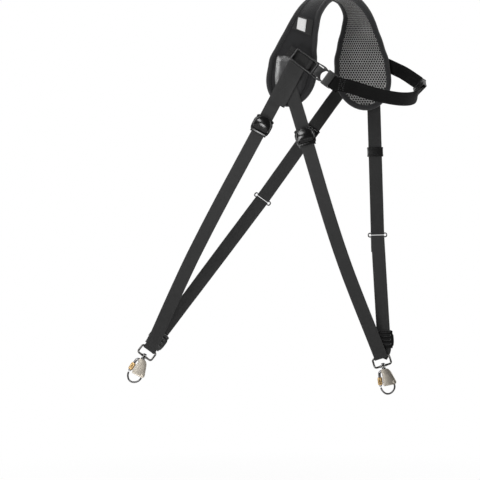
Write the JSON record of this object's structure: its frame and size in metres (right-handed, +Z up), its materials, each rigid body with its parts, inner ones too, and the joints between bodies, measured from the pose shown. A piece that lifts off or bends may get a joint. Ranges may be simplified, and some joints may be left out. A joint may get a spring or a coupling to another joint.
{
  "type": "camera sling strap",
  "caption": "Camera sling strap with a padded shoulder arch, long webbing loops, swivel snap hooks with locking sleeves, cam stops and a buckled under-arm strap.",
  "frame": {"origin": "underside of the top of the pad's arch, where it sits on the shoulder", "axes": "+Z up, +X from the front lobe's side to the under-arm strap's side, +Y from the front lobe to the back lobe"},
  "size_m": [0.5549, 0.1677, 0.7431],
  "materials": {
    "nylon": "matt black nylon",
    "mesh": "open knitted spacer mesh, dark grey",
    "binding": "matt black bound edge",
    "patch": "glossy coated fabric",
    "label": "plain white, bare",
    "webbing": "woven charcoal nylon webbing",
    "plastic": "glossy black acetal",
    "nickel": "polished nickel",
    "gunmetal": "satin grey steel",
    "brass": "polished brass",
    "wire": "dark oxidised steel wire"
  },
  "bodies": {
    "sling": {"shoulder_pad": "nylon", "mesh_lining": "mesh", "pad_binding": "binding", "label_band": "webbing", "label_patch": "label", "front_patch": "patch", "front_tab": "webbing", "back_tab": "nylon", "buckle_prongs": "plastic", "buckle_receptacle": "plastic", "underarm_tab": "webbing", "underarm_webbing": "webbing", "underarm_back_webbing": "webbing", "underarm_slider": "plastic", "sling_webbing_left": "webbing", "back_strap_left": "webbing", "loop_left": "wire", "slider_left": "plastic", "ring_left": "nickel", "bumper_upper_left_frame": "plastic", "bumper_lower_left_frame": "plastic", "sling_webbing_right": "webbing", "back_strap_right": "webbing", "loop_right": "wire", "slider_right": "plastic", "ring_right": "nickel", "bumper_upper_right_frame": "plastic", "bumper_lower_right_frame": "plastic"},
    "hook_left": {"hook_left": "gunmetal"},
    "bail_left": {"bail_left": "wire"},
    "sleeve_left": {"sleeve_left": "brass"},
    "hook_right": {"hook_right": "gunmetal"},
    "bail_right": {"bail_right": "wire"},
    "sleeve_right": {"sleeve_right": "brass"},
    "bumper_upper_left_lever": {"bumper_upper_left_lever": "plastic"},
    "bumper_upper_right_lever": {"bumper_upper_right_lever": "plastic"},
    "bumper_lower_left_lever": {"bumper_lower_left_lever": "plastic"},
    "bumper_lower_right_lever": {"bumper_lower_right_lever": "plastic"}
  },
  "joints": [
    {"name": "swivel_left", "type": "hinge", "parent": "sling", "child": "hook_left", "pos_m": [-0.35063, 0, -0.66098], "axis": [0.4695, 0, 0.8829], "continuous": true},
    {"name": "bail_left_swing", "type": "hinge", "parent": "hook_left", "child": "bail_left", "pos_m": [-0.35398, 0, -0.69597], "axis": [0, -1, 0], "range_deg": [0, 55]},
    {"name": "sleeve_left_slide", "type": "slide", "parent": "hook_left", "child": "sleeve_left", "axis": [0.5425, 0, 0.8401], "range_m": [-0.002, 0.004]},
    {"name": "swivel_right", "type": "hinge", "parent": "sling", "child": "hook_right", "pos_m": [0.09217, 0, -0.67866], "axis": [-0.1908, 0, 0.9816], "continuous": true},
    {"name": "bail_right_swing", "type": "hinge", "parent": "hook_right", "child": "bail_right", "pos_m": [0.11159, 0, -0.70796], "axis": [0, -1, 0], "range_deg": [0, 55]},
    {"name": "sleeve_right_slide", "type": "slide", "parent": "hook_right", "child": "sleeve_right", "axis": [-0.1071, 0, 0.9942], "range_m": [-0.002, 0.004]},
    {"name": "cam_upper_left", "type": "hinge", "parent": "sling", "child": "bumper_upper_left_lever", "pos_m": [-0.13433, -0.07554, -0.23904], "axis": [0.8809, 0, -0.4733], "range_deg": [0, 90]},
    {"name": "cam_upper_right", "type": "hinge", "parent": "sling", "child": "bumper_upper_right_lever", "pos_m": [-0.05339, -0.07115, -0.25998], "axis": [0.9567, 0, 0.291], "range_deg": [0, 90]},
    {"name": "cam_lower_left", "type": "hinge", "parent": "sling", "child": "bumper_lower_left_lever", "pos_m": [-0.32925, 0.00916, -0.63054], "axis": [-0.7156, -0.3699, 0.5925], "range_deg": [0, 90]},
    {"name": "cam_lower_right", "type": "hinge", "parent": "sling", "child": "bumper_lower_right_lever", "pos_m": [0.09345, 0.01154, -0.6324], "axis": [-0.9982, -0.0363, -0.0474], "range_deg": [0, 90]}
  ]
}
